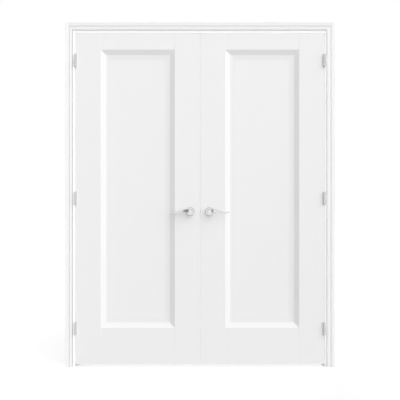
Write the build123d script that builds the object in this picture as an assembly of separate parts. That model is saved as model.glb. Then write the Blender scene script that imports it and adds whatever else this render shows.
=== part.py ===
from build123d import *
import os

# A pair of one-panel timber doors hung in a cased frame, shown closed. Millimetres.
# X runs across the doorway, Y from the front (the side that the leaves open to) to the back, Z up.
# The origin is on the floor, midway between the jambs, in the plane of the jambs' front edges.

# Leaves: stiles and rails grooved round a flat panel
leaf_width = 762.0
leaf_height = 2032.0
leaf_thickness = 35.0
stile_width = 155.0
top_rail_height = 99.0
bottom_rail_height = 224.0
panel_thickness = 9.0
groove_depth = 12.0
panel_edge_gap = 2.0
panel_slack = 0.1
leaf_edge_ease = 1.0

# Panel mouldings planted in the recess on both faces, mitred at the corners
moulding_width = 60.0
moulding_set_back = 0.8
moulding_lip = 0.6
moulding_bevel_share = 0.5
moulding_cove_share = 0.25

# Running gaps round the closed leaves
meeting_gap = 3.0
hinge_gap = 2.0
head_gap = 2.0
floor_gap = 16.0
stop_gap = 0.5

# Jambs and door stops
jamb_thickness = 25.0
jamb_depth = 116.0
head_housing_depth = 8.0
jamb_edge_ease = 1.0
stop_thickness = 11.0
stop_depth = 35.0
stop_round = 4.0

# Casing: thickens outwards from its inner edge, with a bead, a quirk, an inner band, a flute and
# an outer band in that order
casing_side_reveal = 14.0
casing_head_reveal = 18.0
casing_inner_thickness = 4.5
casing_outer_thickness = 9.0
casing_edge_ease = 0.5
bead_width = 3.0
quirk_width = 2.4
quirk_depth = 2.4
inner_band_width = 14.9
flute_width = 6.0
flute_depth = 2.0
outer_band_width = 20.7

# Loose-joint hinges, three to a leaf, with heights to their middles
hinge_height = 76.0
hinge_plate_width = 28.0
hinge_plate_thickness = 2.3
hinge_from_leaf_top = 164.0
hinge_middle_height = 1022.0
hinge_from_leaf_bottom = 220.0
barrel_diameter = 15.0
barrel_clearance = 0.3
knuckle_count = 2
knuckle_gap = 0.3
pin_diameter = 6.0
pin_clearance = 0.05

# Lever handles on round roses
handle_height = 939.0
backset = 57.0
rose_diameter = 52.0
rose_thickness = 8.0
rose_clearance = 0.3
neck_diameter = 26.0
lever_stand_off = 48.0
lever_length = 117.0
lever_depth = 11.0
lever_height = 16.0
lever_wave = 6.0
spindle_size = 8.0
spindle_clearance = 0.05
spindle_socket_depth = 30.0
spindle_hole_diameter = 18.0
# Arm stations: place along the lever, rise in waves, share of the arm's height
lever_root_shares = (0.0, 0.0, 1.0)
lever_crest_shares = (0.33, 0.9, 0.88)
lever_turn_shares = (0.57, -0.2, 0.72)
lever_tip_shares = (0.96, -0.9, 0.5)

# Mortice latch in the right leaf, with its strike in the left leaf
latch_case_depth = 76.0
latch_case_width = 14.0
latch_case_height = 50.0
latch_face_height = 76.0
latch_face_width = 22.0
latch_face_thickness = 2.5
bolt_throw = 11.0
bolt_width = 10.0
bolt_height = 16.0
bolt_body_length = 22.0
bolt_nose = 2.0
bolt_clearance = 0.2
bolt_tail_length = 14.0
bolt_tail_size = 4.0
follower_diameter = 14.0
follower_clearance = 0.1
strike_thickness = 1.6
strike_height = 76.0
strike_width = 22.0
strike_hole_clearance = 1.0
strike_pocket_depth = 14.0

# Spring catch in the top of the left leaf, with its strike under the head jamb
catch_inset = 75.0
catch_plate_length = 50.0
catch_plate_width = 17.0
catch_plate_thickness = 1.6
catch_case_length = 26.0
catch_case_width = 13.0
catch_case_depth = 32.0
catch_wall = 2.0
catch_plunger_length = 18.0
catch_lip = 2.0
catch_lip_depth = 4.0
catch_foot_depth = 4.0
catch_plunger_reach = 4.0
catch_nose_width = 2.0
catch_clearance = 0.1
catch_strike_clearance = 1.0
catch_strike_pocket_depth = 4.0

overrun = 5.0
whole_edge_share = 0.99
diagonal_share = 0.5**0.5

# Derived places
leaf_outer = meeting_gap / 2 + leaf_width
half_opening = leaf_outer + hinge_gap
leaf_bottom = floor_gap
leaf_top = leaf_bottom + leaf_height
opening_height = leaf_top + head_gap
jamb_outer = half_opening + jamb_thickness
jamb_top = opening_height + jamb_thickness
leaf_middle = leaf_thickness / 2
panel_recess = (leaf_thickness - panel_thickness) / 2
groove_half = panel_thickness / 2 + panel_slack
panel_left = -leaf_outer + stile_width
panel_right = -meeting_gap / 2 - stile_width
panel_bottom = leaf_bottom + bottom_rail_height
panel_top = leaf_top - top_rail_height
hinge_axis_x = -(leaf_outer + hinge_gap / 2)
hinge_axis_y = -(barrel_diameter / 2 + barrel_clearance)
hinge_middles = (
    leaf_bottom + hinge_from_leaf_bottom,
    leaf_bottom + hinge_middle_height,
    leaf_top - hinge_from_leaf_top,
)
handle_z = leaf_bottom + handle_height
handle_x = meeting_gap / 2 + backset
catch_x = -meeting_gap / 2 - catch_inset

front_to_back = Plane(origin=(0, jamb_depth / 2, 0), z_dir=(0, 1, 0))
leaf_front_to_back = Plane(origin=(0, leaf_middle, 0), z_dir=(0, 1, 0))


def block(x, y, z):
    """A box between the two limits given for each axis."""
    middle = [sum(limits) / 2 for limits in (x, y, z)]
    return Pos(*middle) * Box(x[1] - x[0], y[1] - y[0], z[1] - z[0])


def about(middle, size):
    """The two limits of a stretch of this size about its middle."""
    return (middle - size / 2, middle + size / 2)


def rod(start, direction, diameter, length):
    """A cylinder that starts at a point and runs along a direction."""
    plane = Plane(origin=start, z_dir=direction)
    return plane * Cylinder(diameter / 2, length, align=(Align.CENTER, Align.CENTER, Align.MIN))


def eased(part, axis, ease):
    """The part with its longest edges along an axis chamfered by a small amount."""
    edges = part.edges().filter_by(axis)
    longest = max(edge.length for edge in edges)
    return chamfer([edge for edge in edges if edge.length > longest * whole_edge_share], ease)


def right_hand(part):
    """The same piece on the other side of the doorway."""
    return mirror(part, about=Plane.YZ)


def save(name, *solids):
    """Write one node, a single solid or a group of like solids."""
    pieces = [solid for item in solids for solid in item.solids()]
    export_step(pieces[0] if len(pieces) == 1 else Compound(pieces), f"parts/{name}.step")


def mitre_cut(part, corner_x, corner_z, normal, keep):
    """Cut a bar at 45 degrees through a corner of its frame, seen from the front."""
    plane = Plane(origin=(corner_x, 0, corner_z), z_dir=(normal[0], 0, normal[1]))
    return split(part, bisect_by=plane, keep=keep)


# Jambs: two legs and a head that sits in housings cut across the legs' tops
def hinge_plate(edge_x, inwards, middle):
    """One hinge plate let into an edge at edge_x, flush with it."""
    thickness = sorted((edge_x, edge_x + inwards * hinge_plate_thickness))
    return block(thickness, (0, hinge_plate_width), about(middle, hinge_height))


jamb_leg = block((-jamb_outer, -half_opening), (0, jamb_depth), (0, jamb_top))
jamb_leg = eased(jamb_leg, Axis.Z, jamb_edge_ease)
jamb_leg -= block(
    (-half_opening - head_housing_depth, -half_opening + overrun),
    (-overrun, jamb_depth + overrun),
    (opening_height, jamb_top + overrun),
)
for middle in hinge_middles:
    jamb_leg -= hinge_plate(-half_opening, -1, middle)

head_half = half_opening + head_housing_depth
jamb_head = block((-head_half, head_half), (0, jamb_depth), (opening_height, jamb_top))
jamb_head = eased(jamb_head, Axis.X, jamb_edge_ease)


# Stops: bars on the jambs that the closed leaves rest against, mitred at the top
def stop_face(across):
    """The stop's section, rounded on the corner away from the leaves; across(u, y) gives the place."""
    near = leaf_thickness + stop_gap
    far = near + stop_depth
    round_start = stop_thickness - stop_round
    turn = stop_round * (1 - diagonal_share)
    outline = [
        Line(across(0, far), across(0, near)),
        Line(across(0, near), across(stop_thickness, near)),
        Line(across(stop_thickness, near), across(stop_thickness, far - stop_round)),
        ThreePointArc(
            across(stop_thickness, far - stop_round),
            across(stop_thickness - turn, far - turn),
            across(round_start, far),
        ),
        Line(across(round_start, far), across(0, far)),
    ]
    return make_face(outline)


stop_leg = extrude(
    stop_face(lambda u, y: (-half_opening + u, y, 0)), opening_height, dir=(0, 0, 1)
)
stop_leg = mitre_cut(stop_leg, -half_opening, opening_height, (1, 1), Keep.BOTTOM)
stop_head = extrude(
    stop_face(lambda u, y: (-half_opening, y, opening_height - u)), 2 * half_opening, dir=(1, 0, 0)
)
stop_head = mitre_cut(stop_head, -half_opening, opening_height, (1, 1), Keep.TOP)
stop_head = mitre_cut(stop_head, half_opening, opening_height, (-1, 1), Keep.TOP)


# Casing: one moulding run round both sides of the opening, mitred at the top corners
casing_width = bead_width + quirk_width + inner_band_width + flute_width + outer_band_width


def casing_face(place):
    """The casing's section; place(u, v) is u out from its inner edge and v proud of the wall."""
    quirk_end = bead_width + quirk_width
    flute_start = quirk_end + inner_band_width
    flute_middle = flute_start + flute_width / 2
    flute_end = flute_start + flute_width
    outer_ease = casing_width - casing_edge_ease

    def on_face(u, below=0):
        """A point on the casing's sloping face, or a depth below it."""
        swell = (casing_outer_thickness - casing_inner_thickness) * u / casing_width
        return place(u, casing_inner_thickness + swell - below)

    outline = [
        Polyline(
            place(0, 0),
            on_face(0, casing_edge_ease),
            on_face(casing_edge_ease),
            on_face(bead_width),
            on_face(bead_width, quirk_depth),
            on_face(quirk_end, quirk_depth),
            on_face(quirk_end),
            on_face(flute_start),
        ),
        ThreePointArc(on_face(flute_start), on_face(flute_middle, flute_depth), on_face(flute_end)),
        Polyline(
            on_face(flute_end),
            on_face(outer_ease),
            on_face(casing_width, casing_edge_ease),
            place(casing_width, 0),
            place(0, 0),
        ),
    ]
    return make_face(outline)


casing_inner_x = half_opening + casing_side_reveal
casing_inner_z = opening_height + casing_head_reveal
casing_outer_x = casing_inner_x + casing_width

casing_leg = extrude(
    casing_face(lambda u, v: (-casing_inner_x - u, -v, 0)),
    casing_inner_z + casing_width,
    dir=(0, 0, 1),
)
casing_leg = mitre_cut(casing_leg, -casing_inner_x, casing_inner_z, (1, 1), Keep.BOTTOM)
casing_head = extrude(
    casing_face(lambda u, v: (-casing_outer_x, -v, casing_inner_z + u)),
    2 * casing_outer_x,
    dir=(1, 0, 0),
)
casing_head = mitre_cut(casing_head, -casing_inner_x, casing_inner_z, (1, 1), Keep.TOP)
casing_head = mitre_cut(casing_head, casing_inner_x, casing_inner_z, (-1, 1), Keep.TOP)


# Hinges: the leaf's knuckle sits over the jamb's, on a pin that stays with the jamb's plate
knuckle_length = (hinge_height - (knuckle_count - 1) * knuckle_gap) / knuckle_count


def hinge_leaf(edge_x, inwards, middle, first_knuckle):
    """A plate in its mortise, with every second knuckle from first_knuckle up, bored for the pin."""
    leaf = hinge_plate(edge_x, inwards, middle)
    low = middle - hinge_height / 2
    for index in range(first_knuckle, knuckle_count, 2):
        start = low + index * (knuckle_length + knuckle_gap)
        band = (start, start + knuckle_length)
        neck = sorted((edge_x, edge_x + inwards * hinge_plate_thickness))
        leaf += block(neck, (hinge_axis_y, 0), band)
        leaf += rod((hinge_axis_x, hinge_axis_y, start), (0, 0, 1), barrel_diameter, knuckle_length)
    bore = pin_diameter + 2 * pin_clearance
    start = (hinge_axis_x, hinge_axis_y, low - overrun)
    leaf -= rod(start, (0, 0, 1), bore, hinge_height + 2 * overrun)
    return leaf


def hinge_pin(middle):
    """A plain pin, flush with the barrel's ends."""
    start = (hinge_axis_x, hinge_axis_y, middle - hinge_height / 2)
    return rod(start, (0, 0, 1), pin_diameter, hinge_height)


jamb_plates = [hinge_leaf(-half_opening, -1, middle, 0) for middle in hinge_middles]
leaf_plates = [hinge_leaf(-leaf_outer, 1, middle, 1) for middle in hinge_middles]
pins = [hinge_pin(middle) for middle in hinge_middles]


# Leaves: each is drawn once as the left leaf, and its latch or strike is cut in afterwards
def panel_groove(x, z):
    """The slot for the panel's edge, along the inner edge of a stile or rail."""
    return block(x, about(leaf_middle, 2 * groove_half), z)


leaf_z = (leaf_bottom, leaf_top)
leaf_y = (0, leaf_thickness)
hinge_stile = eased(block((-leaf_outer, panel_left), leaf_y, leaf_z), Axis.Z, leaf_edge_ease)
hinge_stile -= panel_groove((panel_left - groove_depth, panel_left + overrun), leaf_z)
for middle in hinge_middles:
    hinge_stile -= hinge_plate(-leaf_outer, 1, middle)
lock_stile = eased(block((panel_right, -meeting_gap / 2), leaf_y, leaf_z), Axis.Z, leaf_edge_ease)
lock_stile -= panel_groove((panel_right - overrun, panel_right + groove_depth), leaf_z)


def rail(z, groove_z):
    """A rail between the stiles, with tongues in their grooves and a groove for the panel."""
    tongue = (panel_left - groove_depth, panel_right + groove_depth)
    body = block((panel_left, panel_right), leaf_y, z)
    body += block(tongue, about(leaf_middle, panel_thickness), z)
    return body - panel_groove((tongue[0] - overrun, tongue[1] + overrun), groove_z)


top_rail = rail((panel_top, leaf_top), (panel_top - overrun, panel_top + groove_depth))
bottom_rail = rail((leaf_bottom, panel_bottom), (panel_bottom - groove_depth, panel_bottom + overrun))

panel_entry = groove_depth - panel_edge_gap
panel = block(
    (panel_left - panel_entry, panel_right + panel_entry),
    about(leaf_middle, panel_thickness),
    (panel_bottom - panel_entry, panel_top + panel_entry),
)


def moulding_face(place):
    """The moulding's section; place(u, v) is u in from the stile or rail and v proud of the panel."""
    height = panel_recess - moulding_set_back
    bevel_run = moulding_bevel_share * moulding_width
    cove_run = moulding_width - bevel_run
    # The cove starts at a share of the bevel's slope and ends level with the panel
    slope = (height - moulding_lip) / (bevel_run + moulding_cove_share * cove_run / 2)
    cove_start = height - slope * bevel_run
    direction = Vector(*place(1, -slope * moulding_cove_share)) - Vector(*place(0, 0))
    outline = [
        Line(place(0, 0), place(0, height)),
        Line(place(0, height), place(bevel_run, cove_start)),
        TangentArc(place(bevel_run, cove_start), place(moulding_width, moulding_lip), tangent=direction),
        Polyline(place(moulding_width, moulding_lip), place(moulding_width, 0), place(0, 0)),
    ]
    return make_face(outline)


def panel_mouldings():
    """The four mitred bars on the front of the left leaf's panel."""
    height = panel_top - panel_bottom
    width = panel_right - panel_left
    side = extrude(
        moulding_face(lambda u, v: (panel_left + u, panel_recess - v, panel_bottom)),
        height,
        dir=(0, 0, 1),
    )
    side = mitre_cut(side, panel_left, panel_bottom, (1, -1), Keep.BOTTOM)
    side = mitre_cut(side, panel_left, panel_top, (1, 1), Keep.BOTTOM)
    sill = extrude(
        moulding_face(lambda u, v: (panel_left, panel_recess - v, panel_bottom + u)),
        width,
        dir=(1, 0, 0),
    )
    sill = mitre_cut(sill, panel_left, panel_bottom, (1, -1), Keep.TOP)
    sill = mitre_cut(sill, panel_right, panel_bottom, (-1, -1), Keep.TOP)
    across = Plane(origin=((panel_left + panel_right) / 2, 0, 0), z_dir=(1, 0, 0))
    upwards = Plane(origin=(0, 0, (panel_bottom + panel_top) / 2), z_dir=(0, 0, 1))
    return [side, mirror(side, about=across), sill, mirror(sill, about=upwards)]


front_mouldings = panel_mouldings()
back_mouldings = [mirror(bar, about=leaf_front_to_back) for bar in front_mouldings]


# Lever handles, drawn on the front of the right leaf
def rose():
    """A flat round rose, bored for the lever's neck."""
    disc = rod((handle_x, 0, handle_z), (0, -1, 0), rose_diameter, rose_thickness)
    hole = neck_diameter + 2 * rose_clearance
    return disc - rod((handle_x, overrun, handle_z), (0, -1, 0), hole, rose_thickness + 2 * overrun)


def lever_edge(side):
    """One waved edge of the arm: an arc over the crest, then one in line with it to the tip."""
    points = []
    for shares in (lever_root_shares, lever_crest_shares, lever_turn_shares, lever_tip_shares):
        x = handle_x + lever_length * shares[0]
        rise = lever_wave * shares[1] + side * lever_height * shares[2] / 2
        points.append((x, -lever_stand_off - lever_depth / 2, handle_z + rise))
    crest = ThreePointArc(*points[:3])
    return [crest, TangentArc(points[2], points[3], tangent=crest % 1)], points


def lever():
    """A cast lever: a round neck with a waved arm that runs outwards from the meeting edge."""
    upper, upper_points = lever_edge(1)
    lower, lower_points = lever_edge(-1)
    front = -lever_stand_off - lever_depth / 2
    tip = (handle_x + lever_length, front, (upper_points[3][2] + lower_points[3][2]) / 2)
    ends = [ThreePointArc(upper_points[3], tip, lower_points[3]), Line(lower_points[0], upper_points[0])]
    arm = extrude(make_face(upper + lower + ends), lever_depth, dir=(0, 1, 0))
    handle = arm + rod((handle_x, 0, handle_z), (0, -1, 0), neck_diameter, -front)
    socket = spindle_size + 2 * spindle_clearance
    return handle - block(
        about(handle_x, socket), (-spindle_socket_depth, overrun), about(handle_z, socket)
    )


front_rose = rose()
front_lever = lever()
back_rose = mirror(front_rose, about=leaf_front_to_back)
back_lever = mirror(front_lever, about=leaf_front_to_back)
spindle = block(
    about(handle_x, spindle_size),
    about(leaf_middle, leaf_thickness + 2 * spindle_socket_depth),
    about(handle_z, spindle_size),
)
spindle_hole = rod(
    (handle_x, -overrun, handle_z), (0, 1, 0), spindle_hole_diameter, leaf_thickness + 2 * overrun
)


# Latch: a flat case let into the right leaf's edge, with a bolt that the spindle draws back
def edge_plate(x, width, height):
    """A thin plate on a meeting edge, centred on the latch."""
    return block(x, about(leaf_middle, width), about(handle_z, height))


latch_edge = meeting_gap / 2
latch_face_end = latch_edge + latch_face_thickness
latch_case_end = latch_edge + latch_case_depth
latch_body = edge_plate((latch_edge, latch_face_end), latch_face_width, latch_face_height)
latch_body += edge_plate((latch_face_end, latch_case_end), latch_case_width, latch_case_height)
follower_start = (handle_x, leaf_middle - latch_case_width / 2, handle_z)
follower_hole_diameter = follower_diameter + 2 * follower_clearance
follower_hole = rod(follower_start, (0, 1, 0), follower_hole_diameter, latch_case_width)
bolt_channel = edge_plate(
    (latch_edge, handle_x), bolt_width + 2 * bolt_clearance, bolt_height + 2 * bolt_clearance
)
latch_case = latch_body - bolt_channel - follower_hole

follower = rod(follower_start, (0, 1, 0), follower_diameter, latch_case_width)
socket = spindle_size + 2 * spindle_clearance
follower -= block(about(handle_x, socket), about(leaf_middle, leaf_thickness), about(handle_z, socket))

bolt_near, bolt_far = about(leaf_middle, bolt_width)
bolt_outline = Polyline(
    (latch_edge + bolt_body_length, bolt_near),
    (latch_edge - bolt_throw, bolt_near),
    (latch_edge - bolt_throw, bolt_near + bolt_nose),
    (latch_edge, bolt_far),
    (latch_edge + bolt_body_length, bolt_far),
    close=True,
)
bolt_base = Pos(0, 0, handle_z - bolt_height / 2) * make_face(bolt_outline)
latch_bolt = extrude(bolt_base, bolt_height, dir=(0, 0, 1))
tail_start = latch_edge + bolt_body_length
latch_bolt += edge_plate((tail_start, tail_start + bolt_tail_length), bolt_tail_size, bolt_tail_size)

right_lock_stile = right_hand(lock_stile) - latch_body - spindle_hole

strike_edge = -meeting_gap / 2
strike_plate = edge_plate((strike_edge - strike_thickness, strike_edge), strike_width, strike_height)
strike_hole = edge_plate(
    (strike_edge - strike_pocket_depth, strike_edge),
    bolt_width + 2 * strike_hole_clearance,
    bolt_height + 2 * strike_hole_clearance,
)
latch_strike = strike_plate - strike_hole
dummy_hole = block(about(-handle_x, socket), (-overrun, leaf_thickness + overrun), about(handle_z, socket))
left_lock_stile = lock_stile - strike_plate - strike_hole - dummy_hole


# Catch: a spring catch that holds the left leaf shut against the head jamb
def catch_block(length, width, z):
    """A block on the catch's upright axis."""
    return block(about(catch_x, length), about(leaf_middle, width), z)


plate_z = (leaf_top - catch_plate_thickness, leaf_top)
catch_body = catch_block(catch_plate_length, catch_plate_width, plate_z)
catch_body += catch_block(catch_case_length, catch_case_width, (leaf_top - catch_case_depth, leaf_top))
chamber_length = catch_case_length - 2 * catch_wall
mouth_length = chamber_length - 2 * catch_lip
bore_width = catch_case_width - 2 * catch_wall
lip_bottom = leaf_top - catch_lip_depth
catch_housing = catch_body - catch_block(mouth_length, bore_width, (lip_bottom, leaf_top))
catch_housing -= catch_block(
    chamber_length, bore_width, (leaf_top - catch_case_depth + catch_wall, lip_bottom)
)
plunger_half = bore_width / 2 - catch_clearance
plunger_start = catch_x - mouth_length / 2 + catch_clearance
plunger_outline = Polyline(
    (plunger_start, leaf_middle - plunger_half, leaf_top - catch_plunger_length),
    (plunger_start, leaf_middle - plunger_half, leaf_top),
    (plunger_start, leaf_middle - catch_nose_width / 2, leaf_top + catch_plunger_reach),
    (plunger_start, leaf_middle + catch_nose_width / 2, leaf_top + catch_plunger_reach),
    (plunger_start, leaf_middle + plunger_half, leaf_top),
    (plunger_start, leaf_middle + plunger_half, leaf_top - catch_plunger_length),
    close=True,
)
catch_plunger = extrude(make_face(plunger_outline), mouth_length - 2 * catch_clearance, dir=(1, 0, 0))
catch_plunger += catch_block(
    chamber_length - 2 * catch_clearance,
    bore_width - 2 * catch_clearance,
    (lip_bottom - catch_foot_depth, lip_bottom),
)
catch_strike_plate = catch_block(
    catch_plate_length, catch_plate_width, (opening_height, opening_height + catch_plate_thickness)
)
catch_pocket = catch_block(
    mouth_length + 2 * catch_strike_clearance,
    bore_width + 2 * catch_strike_clearance,
    (opening_height, opening_height + catch_strike_pocket_depth),
)
catch_strike = catch_strike_plate - catch_pocket
jamb_head = jamb_head - catch_strike_plate - catch_pocket
left_lock_stile = left_lock_stile - catch_body


# One STEP file for each node
os.makedirs("parts", exist_ok=True)

save("jamb_left", jamb_leg)
save("jamb_right", right_hand(jamb_leg))
save("jamb_head", jamb_head)
save("stop_left", stop_leg)
save("stop_right", right_hand(stop_leg))
save("stop_head", stop_head)
for face, turn in (("front", lambda part: part), ("back", lambda part: mirror(part, about=front_to_back))):
    save(f"casing_{face}_left", turn(casing_leg))
    save(f"casing_{face}_right", right_hand(turn(casing_leg)))
    save(f"casing_{face}_head", turn(casing_head))

for side, turn in (("left", lambda part: part), ("right", right_hand)):
    save(f"{side}_jamb_hinge_plates", *[turn(plate) for plate in jamb_plates])
    save(f"{side}_leaf_hinge_plates", *[turn(plate) for plate in leaf_plates])
    save(f"{side}_hinge_pins", *[turn(pin) for pin in pins])
    save(f"{side}_hinge_stile", turn(hinge_stile))
    save(f"{side}_top_rail", turn(top_rail))
    save(f"{side}_bottom_rail", turn(bottom_rail))
    save(f"{side}_panel", turn(panel))
    save(f"{side}_front_mouldings", *[turn(bar) for bar in front_mouldings])
    save(f"{side}_back_mouldings", *[turn(bar) for bar in back_mouldings])
save("left_lock_stile", left_lock_stile)
save("right_lock_stile", right_lock_stile)

for side, turn in (("left", right_hand), ("right", lambda part: part)):
    save(f"{side}_front_rose", turn(front_rose))
    save(f"{side}_back_rose", turn(back_rose))
    save(f"{side}_front_lever", turn(front_lever))
    save(f"{side}_back_lever", turn(back_lever))
    save(f"{side}_spindle", turn(spindle))

save("latch_case", latch_case)
save("latch_follower", follower)
save("latch_bolt", latch_bolt)
save("latch_strike", latch_strike)
save("catch_housing", catch_housing)
save("catch_plunger", catch_plunger)
save("catch_strike", catch_strike)
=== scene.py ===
import math

import bpy
import numpy as np
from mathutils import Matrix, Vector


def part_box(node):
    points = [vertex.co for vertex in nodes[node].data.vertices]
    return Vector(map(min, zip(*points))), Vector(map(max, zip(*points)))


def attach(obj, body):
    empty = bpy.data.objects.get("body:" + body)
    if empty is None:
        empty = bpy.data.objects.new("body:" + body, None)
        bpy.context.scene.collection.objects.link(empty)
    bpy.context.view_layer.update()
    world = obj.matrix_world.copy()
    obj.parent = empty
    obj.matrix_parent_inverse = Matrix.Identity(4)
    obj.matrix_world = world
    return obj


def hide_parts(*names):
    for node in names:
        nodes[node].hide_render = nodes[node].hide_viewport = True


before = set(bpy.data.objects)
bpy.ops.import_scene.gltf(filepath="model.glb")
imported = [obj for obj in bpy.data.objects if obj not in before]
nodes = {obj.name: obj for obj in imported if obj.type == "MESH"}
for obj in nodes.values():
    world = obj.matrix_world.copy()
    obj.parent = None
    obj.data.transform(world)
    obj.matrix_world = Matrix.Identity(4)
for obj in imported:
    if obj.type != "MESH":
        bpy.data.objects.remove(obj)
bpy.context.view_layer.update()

# Leaves: stiles and rails with a flat panel between them, and mitred mouldings planted round the
# panel on both faces. Primed timber under two coats of white satin paint, laid off along each
# member, which leaves faint tracks in the film and a soft, broad shine; a shade less on mouldings.

sides = {"left": -1, "right": 1}


def linear(shade):
    """Linear red, green, blue and alpha of an sRGB hex value, by the sRGB transfer curve."""
    coded = np.array([int(shade[i:i + 2], 16) for i in (1, 3, 5)]) / 255.0
    curve = np.where(coded <= 0.04045, coded / 12.92, ((coded + 0.055) / 1.055) ** 2.4)
    return (*curve.tolist(), 1.0)


def add_node(material, kind, settings=(), **links):
    """Add one node; settings are attributes or input values, links are sockets to join to inputs."""
    tree = material.node_tree
    node = tree.nodes.new(kind)
    for key, value in dict(settings).items():
        if hasattr(node, key):
            setattr(node, key, value)
        else:
            node.inputs[key].default_value = value
    for key, socket in links.items():
        tree.links.new(socket, node.inputs[key.replace("_", " ")])
    return node


def new_material(name):
    """An empty node material and its Principled shader."""
    material = bpy.data.materials.new(name)
    material.use_nodes = True
    return material, material.node_tree.nodes["Principled BSDF"]


def satin_paint(name, shade, laid_along, roughness):
    """White paint: brush tracks drawn out along one axis, with slow clouding of the film.

    The tracks are noise squeezed across the brush and stretched along it; the clouding is slow
    noise. Both move the shade by about one part in a hundred and feed the bump and roughness.
    """
    track_width = 0.004     # real tracks are about 1 mm; drawn wider so that they show
    track_length = 60 * track_width
    track_depth = 0.0002
    cloud_size = 0.35
    thin_film_share = 0.988
    thin_film, full_film = 0.25, 0.75
    shine_swing = 0.06
    track_strength = 0.6
    paint_ior = 1.48
    material, shader = new_material(name)
    place = add_node(material, "ShaderNodeTexCoord").outputs["Object"]
    stretch = [1.0 / track_width] * 3
    stretch["XYZ".index(laid_along)] = 1.0 / track_length
    brushed = add_node(material, "ShaderNodeMapping", {"Scale": stretch}, Vector=place)
    tracks = add_node(
        material, "ShaderNodeTexNoise", {"Scale": 1.0, "Detail": 3.0, "Roughness": 0.55},
        Vector=brushed.outputs["Vector"],
    )
    clouds = add_node(
        material, "ShaderNodeTexNoise", {"Scale": 1.0 / cloud_size, "Detail": 2.0}, Vector=place
    )
    film = add_node(
        material, "ShaderNodeMix", {"data_type": "FLOAT", "Factor": 0.5},
        A=tracks.outputs["Fac"], B=clouds.outputs["Fac"],
    )
    tone = add_node(material, "ShaderNodeValToRGB", Fac=film.outputs["Result"])
    full = np.array(linear(shade))
    tone.color_ramp.elements[0].position = thin_film
    tone.color_ramp.elements[0].color = (*(full[:3] * thin_film_share), 1.0)
    tone.color_ramp.elements[1].position = full_film
    tone.color_ramp.elements[1].color = tuple(full)
    shine = add_node(
        material, "ShaderNodeMapRange",
        {"To Min": roughness - shine_swing, "To Max": roughness + shine_swing},
        Value=film.outputs["Result"],
    )
    relief = add_node(
        material, "ShaderNodeBump", {"Strength": track_strength, "Distance": track_depth},
        Height=tracks.outputs["Fac"],
    )
    links = material.node_tree.links
    links.new(tone.outputs["Color"], shader.inputs["Base Color"])
    links.new(shine.outputs["Result"], shader.inputs["Roughness"])
    links.new(relief.outputs["Normal"], shader.inputs["Normal"])
    shader.inputs["IOR"].default_value = paint_ior
    return material


def dress(node, material):
    """Give a CAD node this one material."""
    slots = nodes[node].data.materials
    slots.clear()
    slots.append(material)


leaf_shade, moulding_shade, leaf_roughness = "#EEEEEE", "#EBEBEB", 0.55
leaf_upright = satin_paint("leaf satin paint, laid off upright", leaf_shade, "Z", leaf_roughness)
leaf_level = satin_paint("leaf satin paint, laid off level", leaf_shade, "X", leaf_roughness)
moulding_paint = satin_paint("moulding satin paint, laid off upright", moulding_shade, "Z", leaf_roughness)
for side in sides:
    for member in ("hinge_stile", "lock_stile", "panel"):
        dress(f"{side}_{member}", leaf_upright)
    for member in ("front_mouldings", "back_mouldings"):
        dress(f"{side}_{member}", moulding_paint)
    for member in ("top_rail", "bottom_rail"):
        dress(f"{side}_{member}", leaf_level)

# Jambs and stops: finger-jointed pine boards with the stops nailed on, set between the casings.
# White satin paint, brighter than the leaves' and laid off along each board.

jamb_shade, frame_roughness = "#FDFDFD", 0.5
jamb_upright = satin_paint("jamb satin paint, laid off upright", jamb_shade, "Z", frame_roughness)
jamb_level = satin_paint("jamb satin paint, laid off level", jamb_shade, "X", frame_roughness)
for board in ("jamb", "stop"):
    for side in sides:
        dress(f"{board}_{side}", jamb_upright)
    dress(f"{board}_head", jamb_level)

# Casing: one fluted moulding, mitred at the top corners and nailed to jambs and wall on both
# sides. Primed fibreboard under white satin paint, brushed along its length.


def paint_groove_shade(material, axis, inner_edge, quirk_shade, flute_shade):
    """Paint shade into the casing's quirk and flute, where their shadow lies: each groove is a band in
    which the distance from the casing's inner edge is within half the band of the band's middle."""
    bead_width, quirk_width, band_width, flute_width, lip = 0.003, 0.0024, 0.0149, 0.006, 0.0002
    quirk_middle = bead_width + quirk_width / 2
    flute_middle = bead_width + quirk_width + band_width + flute_width / 2
    grooves = (
        (quirk_middle, quirk_width / 2 + lip, quirk_shade), (flute_middle, flute_width / 2, flute_shade)
    )
    shader = material.node_tree.nodes["Principled BSDF"]
    tone = shader.inputs["Base Color"].links[0].from_socket
    place = add_node(material, "ShaderNodeTexCoord").outputs["Object"]
    spot = add_node(material, "ShaderNodeSeparateXYZ", Vector=place)
    across = add_node(material, "ShaderNodeMath", {"operation": "ABSOLUTE"}, Value=spot.outputs[axis])
    for middle, half, shade in grooves:
        band = add_node(material, "ShaderNodeMath", {"operation": "COMPARE"})
        material.node_tree.links.new(across.outputs[0], band.inputs[0])
        band.inputs[1].default_value = inner_edge + middle
        band.inputs[2].default_value = half
        tone = add_node(
            material, "ShaderNodeMixRGB", {"Color2": linear(shade)}, Fac=band.outputs[0], Color1=tone
        ).outputs["Color"]
    material.node_tree.links.new(tone, shader.inputs["Base Color"])
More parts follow.
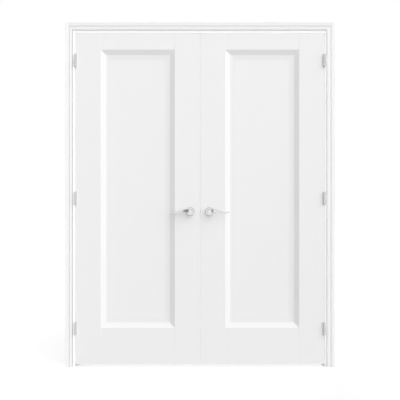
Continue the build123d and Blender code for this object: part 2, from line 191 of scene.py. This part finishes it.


# In the photo both legs look alike although the doors are lit from the right, so the left leg is painted
# a little darker and the right leg a little lighter, as painted shade and painted light, and the painted
# shade in the left leg's quirk and flute is darker too
side_edge, head_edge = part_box("casing_front_right")[0][0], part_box("casing_front_head")[0][2]
for name, boards, shade, quirk_shade, flute_shade in (
    ("left leg", ("casing_front_left",), "#F1F1F1", "#ADADAD", "#D8D8D8"),
    ("right leg", ("casing_front_right",), "#FAFAFA", "#FAFAFA", "#E4E4E4"),
    ("back legs", ("casing_back_left", "casing_back_right"), "#F3F3F3", "#EAEAEA", "#DCDCDC"),
    ("heads", ("casing_front_head", "casing_back_head"), "#F3F3F3", "#F3F3F3", "#E4E4E4"),
):
    laid_along, axis, inner_edge = ("X", "Z", head_edge) if name == "heads" else ("Z", "X", side_edge)
    casing_paint = satin_paint(f"casing satin paint, {name}", shade, laid_along, frame_roughness)
    # Painted shade in the quirk and flute
    paint_groove_shade(casing_paint, axis, inner_edge, quirk_shade, flute_shade)
    for board in boards:
        dress(board, casing_paint)

# Hinges: steel plates let into jamb and leaf, one knuckle each, turning on a fixed pin.
# Nickel plate brushed to a satin grey; button tips close the barrel's ends, and three
# countersunk screws hold each plate.


def satin_nickel(name, shade, roughness, grain_axis):
    """Nickel plate over a brushed ground: fine scratches across one axis that spread the shine."""
    scratch_width = 0.0015  # real scratches are about 0.1 mm; drawn wider so that they show
    scratch_length = 20 * scratch_width
    scratch_depth = 0.00005
    scratch_strength = 0.2
    dull_share = 0.9
    dull_grain, full_grain = 0.3, 0.7
    smoother, rougher = 0.06, 0.08
    material, shader = new_material(name)
    place = add_node(material, "ShaderNodeTexCoord").outputs["Object"]
    stretch = [1.0 / scratch_length] * 3
    stretch["XYZ".index(grain_axis)] = 1.0 / scratch_width
    drawn = add_node(material, "ShaderNodeMapping", {"Scale": stretch}, Vector=place)
    grain = add_node(
        material, "ShaderNodeTexNoise", {"Scale": 1.0, "Detail": 4.0}, Vector=drawn.outputs["Vector"]
    )
    tone = add_node(material, "ShaderNodeValToRGB", Fac=grain.outputs["Fac"])
    full = np.array(linear(shade))
    tone.color_ramp.elements[0].position = dull_grain
    tone.color_ramp.elements[0].color = (*(full[:3] * dull_share), 1.0)
    tone.color_ramp.elements[1].position = full_grain
    tone.color_ramp.elements[1].color = tuple(full)
    shine = add_node(
        material, "ShaderNodeMapRange",
        {"To Min": roughness - smoother, "To Max": roughness + rougher}, Value=grain.outputs["Fac"],
    )
    relief = add_node(
        material, "ShaderNodeBump", {"Strength": scratch_strength, "Distance": scratch_depth},
        Height=grain.outputs["Fac"],
    )
    links = material.node_tree.links
    links.new(tone.outputs["Color"], shader.inputs["Base Color"])
    links.new(shine.outputs["Result"], shader.inputs["Roughness"])
    links.new(relief.outputs["Normal"], shader.inputs["Normal"])
    shader.inputs["Metallic"].default_value = 1.0
    return material


def skin(name, grids, material, body, ring=False):
    """One piece over grids of points: rows run along each shape and columns close round it.

    With ring the rows close on themselves too; otherwise each end gets a fan to its middle. The
    sign of the enclosed volume, the sum of p0 . (p1 x p2) / 6, turns the faces outwards.
    """
    crease_angle = 35
    points, faces, count = [], [], 0
    for grid in grids:
        rows, columns = grid.shape[:2]
        index = np.arange(rows * columns).reshape(rows, columns)
        near = index if ring else index[:-1]
        far = np.roll(index, -1, axis=0) if ring else index[1:]
        quads = np.stack((near, np.roll(near, -1, 1), np.roll(far, -1, 1), far), -1).reshape(-1, 4)
        corners = grid.reshape(-1, 3)
        triangles = np.concatenate((quads[:, [0, 1, 2]], quads[:, [0, 2, 3]]))
        fans = np.empty((0, 3), int)
        if not ring:
            first, last = len(corners), len(corners) + 1
            start = np.stack((np.roll(index[0], -1), index[0], np.full(columns, first)), -1)
            end = np.stack((index[-1], np.roll(index[-1], -1), np.full(columns, last)), -1)
            fans = np.concatenate((start, end))
            corners = np.concatenate((corners, grid[[0, -1]].mean(axis=1)))
        shell = corners - corners.mean(axis=0)
        p0, p1, p2 = (shell[np.concatenate((triangles, fans))[:, i]] for i in range(3))
        outward = np.sign(np.einsum("ij,ij->", p0, np.cross(p1, p2)))
        order = slice(None, None, -1 if outward < 0 else 1)
        faces += (quads[:, order] + count).tolist() + (fans[:, order] + count).tolist()
        points.append(corners)
        count += len(corners)
    mesh = bpy.data.meshes.new(name)
    mesh.from_pydata(np.concatenate(points).tolist(), [], faces)
    mesh.shade_smooth()
    mesh.set_sharp_from_angle(angle=math.radians(crease_angle))
    mesh.materials.append(material)
    piece = bpy.data.objects.new(name, mesh)
    bpy.context.scene.collection.objects.link(piece)
    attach(piece, body)
    return piece


def turned(profile, centre, along, columns):
    """A profile of (radius, height) pairs turned about an axis: centre + height * along + radius
    * (cosine * u + sine * v), with u and v square to the axis."""
    along = np.array(along, float)
    u = np.roll(np.abs(along), 1)
    v = np.cross(along, u)
    angle = np.linspace(0, 2 * np.pi, columns, endpoint=False)
    circle = np.cos(angle)[:, None] * u + np.sin(angle)[:, None] * v
    radius, height = np.array(profile, float).T
    return np.array(centre) + height[:, None, None] * along + radius[:, None, None] * circle


def screw_head(centre, along, radius):
    """A countersunk head with a cross recess: a flat disc, low where a point lies within half a
    slot's width of either arm, on rings from the middle out and then down the edge."""
    columns, rings, middle_share = 40, 12, 0.04
    slot_share, arm_share, slot_depth = 0.13, 0.62, 0.0009
    stand, edge_depth = 0.0002, 0.0012
    shares = np.concatenate((np.linspace(middle_share, 1.0, rings), [1.0]))
    grid = turned(np.stack((shares * radius, np.full(len(shares), stand)), -1), centre, along, columns)
    angle = np.linspace(0, 2 * np.pi, columns, endpoint=False)
    across = shares[:, None] * np.cos(angle)
    up = shares[:, None] * np.sin(angle)
    narrow = np.minimum(np.abs(across), np.abs(up)) < slot_share
    recess = narrow & (np.maximum(np.abs(across), np.abs(up)) < arm_share)
    drop = np.where(recess, slot_depth, 0.0)
    drop[-1] = edge_depth
    return grid - drop[..., None] * np.array(along, float)


hinge_metal = satin_nickel("satin nickel hinge", "#DCDCDC", roughness=0.45, grain_axis="Z")
screw_metal = satin_nickel("nickel-plated screw", "#A8A8A8", roughness=0.35, grain_axis="X")
hinge_height, middle_hinge = 0.076, 1.038
tip_radius, tip_base, tip_rise, tip_fullness = 0.0073, 0.0004, 0.0010, 0.6
tip_rows, tip_columns = 8, 32
screw_radius = 0.0042
screw_places = ((0.0195, -0.026), (0.0095, 0.0), (0.0195, 0.026))
jamb_face, leaf_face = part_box("jamb_right")[0][0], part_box("right_hinge_stile")[1][0]
pins_low, pins_high = (np.array(corner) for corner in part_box("right_hinge_pins"))
pin_x, pin_y = (pins_low + pins_high)[:2] / 2
hinge_middles = (pins_low[2] + hinge_height / 2, middle_hinge, pins_high[2] - hinge_height / 2)
bulge = np.linspace(0, np.pi / 2, tip_rows, endpoint=False)
dome = np.stack((tip_radius * np.cos(bulge) ** tip_fullness, tip_base + tip_rise * np.sin(bulge)), -1)
tip_profile = np.vstack(((tip_radius, 0.0), dome))
for side, sign in sides.items():
    for node in ("jamb_hinge_plates", "leaf_hinge_plates", "hinge_pins"):
        dress(f"{side}_{node}", hinge_metal)
    for end, way, body in (("lower", -1, "frame"), ("upper", 1, f"leaf_{side}")):
        barrel_ends = [(sign * pin_x, pin_y, middle + way * hinge_height / 2) for middle in hinge_middles]
        tips = [turned(tip_profile, centre, (0, 0, way), tip_columns) for centre in barrel_ends]
        skin(f"{side}_hinge_{end}_tips", tips, hinge_metal, body)
    for plate, face, way, body in (
        ("jamb", jamb_face, -sign, "frame"), ("leaf", leaf_face, sign, f"leaf_{side}")
    ):
        heads = [
            screw_head((sign * face, y, middle + rise), (way, 0, 0), screw_radius)
            for middle in hinge_middles for y, rise in screw_places
        ]
        skin(f"{side}_{plate}_hinge_screws", heads, screw_metal, body)

# Roses: spun discs that cover the bored hole on each face, screwed from behind.
# Brass plated with bright nickel; a low rim, a domed shoulder and a flat collar round the neck.


def shade_turned_faces(material, dull):
    """Paint shade on a plated metal: darker on faces turned away from the front and back, by
    the size of the object-space normal's Y."""
    dull_below, bright_above = 0.45, 0.95
    shader = material.node_tree.nodes["Principled BSDF"]
    tone = shader.inputs["Base Color"].links[0].from_socket
    place = add_node(material, "ShaderNodeTexCoord")
    facing = add_node(material, "ShaderNodeSeparateXYZ", Vector=place.outputs["Normal"])
    forward = add_node(material, "ShaderNodeMath", {"operation": "ABSOLUTE"}, Value=facing.outputs["Y"])
    facing_share = add_node(
        material, "ShaderNodeMapRange", {"From Min": dull_below, "From Max": bright_above},
        Value=forward.outputs[0],
    )
    side_shaded = add_node(
        material, "ShaderNodeMixRGB", {"Color1": linear(dull)}, Fac=facing_share.outputs["Result"], Color2=tone
    )
    material.node_tree.links.new(side_shaded.outputs["Color"], shader.inputs["Base Color"])


rose_side_shade = "#A4A4A4"
rose_metal = satin_nickel("bright nickel rose", "#E8E8E8", roughness=0.2, grain_axis="Z")
# Painted shade on the rose's faces turned sideways
shade_turned_faces(rose_metal, rose_side_shade)
rose_low, rose_high = (np.array(corner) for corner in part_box("right_front_rose"))
handle_x, _, handle_z = (rose_low + rose_high) / 2
rose_radius, rose_height = (rose_high[2] - rose_low[2]) / 2, rose_high[1] - rose_low[1]
collar_radius, bore_radius, rim_height = 0.0175, 0.01335, 0.0024
shoulder_rows, rose_columns = 14, 72
leaf_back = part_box("right_lock_stile")[1][1]
swell = np.linspace(0, np.pi / 2, shoulder_rows)
shoulder = np.stack((
    collar_radius + (rose_radius - collar_radius) * np.cos(swell),
    rim_height + (rose_height - rim_height) * np.sin(swell),
), -1)
rose_profile = np.vstack(((rose_radius, 0.0), shoulder, (bore_radius, rose_height), (bore_radius, 0.0)))
for side, sign in sides.items():
    for face, y, way in (("front", 0.0, -1), ("back", leaf_back, 1)):
        disc = turned(rose_profile, (sign * handle_x, y, handle_z), (0, way, 0), rose_columns)
        piece = skin(
            f"{side}_{face}_rose_spun", [disc], rose_metal, f"leaf_{side}", ring=True
        )
        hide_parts(f"{side}_{face}_rose")

# Levers: cast in one piece, a round hub with a waved arm that grows out of its side and thins to
# the tip. Brass plated with bright nickel, fixed on the square spindle; the left pair doesn't
# turn, and the right front hub has a small hole for a release pin.

lever_low, lever_high = (np.array(corner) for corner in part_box("right_front_lever"))
hub_radius, hub_front, arm_length = handle_x - lever_low[0], -lever_low[1], lever_high[0] - handle_x


def lever_hub(sign, way, y, hole_radius):
    """The hub's outline turned about the spindle: a straight side, a quarter-round edge, a flat
    front and, where a radius is given for it, a blind hole in the middle."""
    edge, hole_depth, edge_rows, columns = 0.0025, 0.004, 8, 48
    turn = np.linspace(0, np.pi / 2, edge_rows)
    side = [(hub_radius, 0.0), (hub_radius, hub_front / 2)]
    corner = np.stack((hub_radius - edge + edge * np.cos(turn), hub_front - edge + edge * np.sin(turn)), -1)
    hole = [(hole_radius, hub_front), (hole_radius, hub_front - hole_depth)] if hole_radius else []
    profile = [*side, *corner.tolist(), *hole]
    return turned(profile, (sign * handle_x, y, handle_z), (0, way, 0), columns)


def lever_arm(sign, way, y):
    """A superellipse carried along the arm from inside the hub to the tip.

    The path climbs a quarter sine to a crest, falls half a cosine to a trough and climbs a quarter
    cosine to the tip. Half depth and half height run straight from one of their shares of the
    length to the next, and close at the tip as a quarter ellipse with a small flat end.
    """
    rows, columns = 64, 40
    depth, start, wave, tip_share, power = 0.011, 0.005, 0.006, 0.05, 2 / 2.3
    (crest_at, crest), (trough_at, trough), tip = (0.27, 0.94), (0.82, -1.17), -0.7
    end_share = 0.05
    depth_shares, half_depths = (0, 0.3, 1), (0.0054, 0.0052, 0.0043)
    height_shares = (0, 0.1, 0.2, 0.33, 0.6, 1)
    half_heights = (0.0112, 0.0104, 0.0082, 0.0067, 0.0056, 0.0041)
    share = np.linspace(start / arm_length, 1.0, rows)
    climb = crest * np.sin(np.pi / 2 * share / crest_at)
    fall = crest + (trough - crest) * (1 - np.cos(np.pi * (share - crest_at) / (trough_at - crest_at))) / 2
    lift = trough + (tip - trough) * (1 - np.cos(np.pi / 2 * (share - trough_at) / (1 - trough_at)))
    rise = wave * np.select([share < crest_at, share < trough_at], [climb, fall], lift)
    closing = np.sqrt(np.clip(1 - ((share - 1 + tip_share) / tip_share).clip(0) ** 2, end_share ** 2, 1))
    half_depth = closing * np.interp(share, depth_shares, half_depths)
    half_height = closing * np.interp(share, height_shares, half_heights)
    angle = np.linspace(0, 2 * np.pi, columns, endpoint=False)
    forward = half_depth[:, None] * np.sign(np.cos(angle)) * np.abs(np.cos(angle)) ** power
    up = half_height[:, None] * np.sign(np.sin(angle)) * np.abs(np.sin(angle)) ** power
    x = np.broadcast_to(sign * (handle_x + share * arm_length)[:, None], up.shape)
    return np.stack((x, y + way * (hub_front - depth / 2 + forward), handle_z + rise[:, None] + up), -1)


def paint_root_shade(material, shade, dark_end, clear_end):
    """Paint shade on the arm from the hub out: a ramp on the distance from the spindle in X, dark from the
    hub's edge to one distance and clear beyond another."""
    hub_edge, hub_fade = 0.012, 0.002
    shader = material.node_tree.nodes["Principled BSDF"]
    tone = shader.inputs["Base Color"].links[0].from_socket
    place = add_node(material, "ShaderNodeTexCoord").outputs["Object"]
    spot = add_node(material, "ShaderNodeSeparateXYZ", Vector=place)
    across = add_node(material, "ShaderNodeMath", {"operation": "ABSOLUTE"}, Value=spot.outputs["X"])
    outer = add_node(
        material, "ShaderNodeMapRange",
        {"From Min": handle_x + dark_end, "From Max": handle_x + clear_end}, Value=across.outputs[0],
    )
    hub = add_node(
        material, "ShaderNodeMapRange",
        {"From Min": handle_x + hub_edge, "From Max": handle_x + hub_edge - hub_fade},
        Value=across.outputs[0],
    )
    clear = add_node(material, "ShaderNodeMath", {"operation": "MAXIMUM"})
    links = material.node_tree.links
    links.new(outer.outputs["Result"], clear.inputs[0])
    links.new(hub.outputs["Result"], clear.inputs[1])
    whole = add_node(
        material, "ShaderNodeMixRGB", {"Color1": linear(shade)}, Fac=clear.outputs[0], Color2=tone
    )
    links.new(whole.outputs["Color"], shader.inputs["Base Color"])


# Painted shade: the left levers are a shade darker than the right ones, and the painted shade on the arm
# reaches further along them
lever_tones_and_root_shade = {"left": ("#E9E9E9", 0.032, 0.052), "right": ("#EBEBEB", 0.015, 0.026)}
lever_side_shade, root_shade, release_hole_radius = "#B4B4B4", "#888888", 0.0022
for side, sign in sides.items():
    lever_shade, dark_end, clear_end = lever_tones_and_root_shade[side]
    lever_metal = satin_nickel(f"bright nickel {side} lever", lever_shade, roughness=0.2, grain_axis="Z")
    # Painted shade on faces turned sideways, and on the arm from the hub out
    shade_turned_faces(lever_metal, lever_side_shade)
    paint_root_shade(lever_metal, root_shade, dark_end, clear_end)
    body = "lever_right" if side == "right" else "leaf_left"
    for face, y, way in (("front", 0.0, -1), ("back", leaf_back, 1)):
        hole_radius = release_hole_radius if (side, face) == ("right", "front") else None
        grids = [lever_hub(sign, way, y, hole_radius), lever_arm(sign, way, y)]
        piece = skin(f"{side}_{face}_lever_cast", grids, lever_metal, body)
        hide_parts(f"{side}_{face}_lever")

# Latch: a pressed steel case in the right leaf's edge with a bevelled bolt, and a strike plate
# in the left leaf's. Zinc-plated steel with a cold, even shine; two screws hold each plate.

latch_metal = satin_nickel("zinc-plated steel", "#BFC1C2", roughness=0.3, grain_axis="X")
for node in ("latch_case", "latch_follower", "latch_bolt", "latch_strike", "left_spindle", "right_spindle"):
    dress(node, latch_metal)
leaf_middle = leaf_back / 2
meeting_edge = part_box("right_lock_stile")[0][0]
latch_screw_radius, latch_screw_rise = 0.0035, 0.030
for name, sign, body in (("latch_face_screws", 1, "leaf_right"), ("latch_strike_screws", -1, "leaf_left")):
    heads = [
        screw_head((sign * meeting_edge, leaf_middle, handle_z + rise), (-sign, 0, 0), latch_screw_radius)
        for rise in (-latch_screw_rise, latch_screw_rise)
    ]
    skin(name, heads, screw_metal, body)

# Catch: a sprung plunger in the top of the left leaf that holds it in a strike under the head.
# Zinc-plated steel, like the latch; two screws hold each plate.

for node in ("catch_housing", "catch_plunger", "catch_strike"):
    dress(node, latch_metal)
catch_low, catch_high = (np.array(corner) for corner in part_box("catch_strike"))
catch_x = (catch_low[0] + catch_high[0]) / 2
leaf_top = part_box("left_lock_stile")[1][2]
catch_screw_radius, catch_screw_shift = 0.0032, 0.0195
for name, z, way, body in (
    ("catch_plate_screws", leaf_top, 1, "leaf_left"), ("catch_strike_screws", catch_low[2], -1, "frame")
):
    heads = [
        screw_head((catch_x + shift, leaf_middle, z), (0, 0, way), catch_screw_radius)
        for shift in (-catch_screw_shift, catch_screw_shift)
    ]
    skin(name, heads, screw_metal, body)

# Seals: strips of short white pile, dull and soft, let into the leaves' edges just behind the front
# face. One closes the meeting gap from the left leaf; the others close the gaps to the head jamb
# and, between the hinges, to the side jambs.

seal_material, seal_shader = new_material("white pile")
pile_width = 0.0012     # real tufts are about 0.3 mm; drawn wider so that they show
pile_place = add_node(seal_material, "ShaderNodeTexCoord").outputs["Object"]
tufts = add_node(seal_material, "ShaderNodeTexNoise", {"Scale": 1.0 / pile_width}, Vector=pile_place)
pile_tone = add_node(seal_material, "ShaderNodeValToRGB", Fac=tufts.outputs["Fac"])
pile_root_shade, pile_tip_shade, pile_roughness = "#E2E2E2", "#F6F6F6", 0.95
pile_tone.color_ramp.elements[0].color = linear(pile_root_shade)
pile_tone.color_ramp.elements[1].color = linear(pile_tip_shade)
seal_material.node_tree.links.new(pile_tone.outputs["Color"], seal_shader.inputs["Base Color"])
seal_shader.inputs["Roughness"].default_value = pile_roughness


def pile_strip(edge, way, axis, low, high, reach, front):
    """A strip with a rounded nose: half an ellipse that stands out of the leaf's edge along one
    axis, X or Z, carried straight along the other from low to high."""
    thickness, sunk, nose_columns = 0.0038, 0.0005, 13
    back = front + thickness
    angle = np.linspace(-np.pi / 2, np.pi / 2, nose_columns)
    stand = edge + way * np.concatenate(([-sunk], reach * np.cos(angle), [-sunk]))
    deep = np.concatenate(([front], (front + back) / 2 + (back - front) / 2 * np.sin(angle), [back]))
    along = np.array((low, high))[:, None] + np.zeros_like(stand)
    stand, deep = np.broadcast_to(stand, along.shape), np.broadcast_to(deep, along.shape)
    return np.stack((stand, deep, along) if axis == "X" else (along, deep, stand), -1)


end_inset, hinge_clear = 0.0005, 0.040
meeting_reach, meeting_front, edge_reach, edge_front = 0.0024, 0.0026, 0.0018, 0.0003
seal_low, seal_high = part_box("left_lock_stile")[0][2] + end_inset, leaf_top - end_inset
meeting_strip = pile_strip(-meeting_edge, 1, "X", seal_low, seal_high, meeting_reach, meeting_front)
skin("meeting_seal", [meeting_strip], seal_material, "leaf_left")
clear_spans = [middle + way * hinge_clear for middle in hinge_middles for way in (-1, 1)]
ends = [seal_low, *clear_spans, seal_high]
for side, sign in sides.items():
    strips = [
        pile_strip(sign * leaf_face, sign, "X", low, high, edge_reach, edge_front)
        for low, high in zip(ends[::2], ends[1::2])
    ]
    across = sorted((sign * (meeting_edge + end_inset), sign * (leaf_face - end_inset)))
    strips.append(pile_strip(leaf_top, 1, "Z", *across, edge_reach, edge_front))
    skin(f"{side}_edge_seals", strips, seal_material, f"leaf_{side}")

# Studio: a wide pale floor and surround that look white, a broad key lamp high on the right in
# front, and a weaker one behind so that the back isn't lost.

floor_half, floor_shade, floor_roughness, floor_glow = 40.0, "#A3A3A3", 0.9, 0.67
floor_mesh = bpy.data.meshes.new("floor")
floor_corners = [(x * floor_half, y * floor_half, 0) for x, y in ((-1, -1), (1, -1), (1, 1), (-1, 1))]
floor_mesh.from_pydata(floor_corners, [], [(0, 1, 2, 3)])
floor = bpy.data.objects.new("floor", floor_mesh)
bpy.context.scene.collection.objects.link(floor)
floor_paint, floor_shader = new_material("pale studio floor")
floor_shader.inputs["Base Color"].default_value = linear(floor_shade)
floor_shader.inputs["Roughness"].default_value = floor_roughness
floor_shader.inputs["Specular IOR Level"].default_value = 0.0
floor_mesh.materials.append(floor_paint)


def seen_directly(owner):
    """One where a ray comes from the camera, a mirror or glass, by the larger of the three flags."""
    path = add_node(owner, "ShaderNodeLightPath").outputs
    shine = add_node(owner, "ShaderNodeMath", {"operation": "MAXIMUM"})
    owner.node_tree.links.new(path["Is Glossy Ray"], shine.inputs[0])
    owner.node_tree.links.new(path["Is Transmission Ray"], shine.inputs[1])
    seen = add_node(owner, "ShaderNodeMath", {"operation": "MAXIMUM"})
    owner.node_tree.links.new(path["Is Camera Ray"], seen.inputs[0])
    owner.node_tree.links.new(shine.outputs[0], seen.inputs[1])
    return seen.outputs[0]


floor_links = floor_paint.node_tree.links
floor_links.new(seen_directly(floor_paint), floor_shader.inputs["Emission Strength"])
floor_shader.inputs["Emission Color"].default_value = (floor_glow, floor_glow, floor_glow, 1.0)

surround_fill, white = 0.06, (1, 1, 1, 1)
surround = bpy.data.worlds.new("white surround")
surround.use_nodes = True
bpy.context.scene.world = surround
surround_nodes = surround.node_tree.nodes
fill = surround_nodes["Background"]
fill.inputs["Color"].default_value = white
fill.inputs["Strength"].default_value = surround_fill
backdrop = add_node(surround, "ShaderNodeBackground", {"Strength": 1.0, "Color": white})
blend = add_node(surround, "ShaderNodeMixShader")
for socket, source in zip(blend.inputs, (seen_directly(surround), fill.outputs[0], backdrop.outputs[0])):
    surround.node_tree.links.new(source, socket)
surround.node_tree.links.new(blend.outputs[0], surround_nodes["World Output"].inputs["Surface"])

for name, towards, strength, spread in (
    ("key", (0.56, -0.758, 0.50), 4.11, 90), ("back fill", (-0.35, 0.80, 0.50), 2.5, 60)
):
    lamp = bpy.data.lights.new(name, "SUN")
    lamp.energy = strength
    lamp.angle = math.radians(spread)
    lamp_object = bpy.data.objects.new(name, lamp)
    x, y, z = towards
    lamp_object.rotation_euler = (math.atan2(math.hypot(x, y), z), 0, math.atan2(y, x) + math.pi / 2)
    lamp_object.visible_glossy = False
    bpy.context.scene.collection.objects.link(lamp_object)

# Camera: level with the middle of the frame and square to the doors, far enough back for the
# image width to cover 2.459 m at the jambs' front edges.

view_width, view_distance, view_height = 2.459, 3.3, 1.0255
camera = bpy.data.cameras.new("camera")
camera.sensor_width = 36.0
camera.lens = camera.sensor_width * view_distance / view_width
camera_object = bpy.data.objects.new("camera", camera)
camera_object.location = (0, -view_distance, view_height)
camera_object.rotation_euler = (math.pi / 2, 0, 0)
bpy.context.scene.collection.objects.link(camera_object)
bpy.context.scene.camera = camera_object
bpy.context.scene.view_settings.view_transform = "Standard"
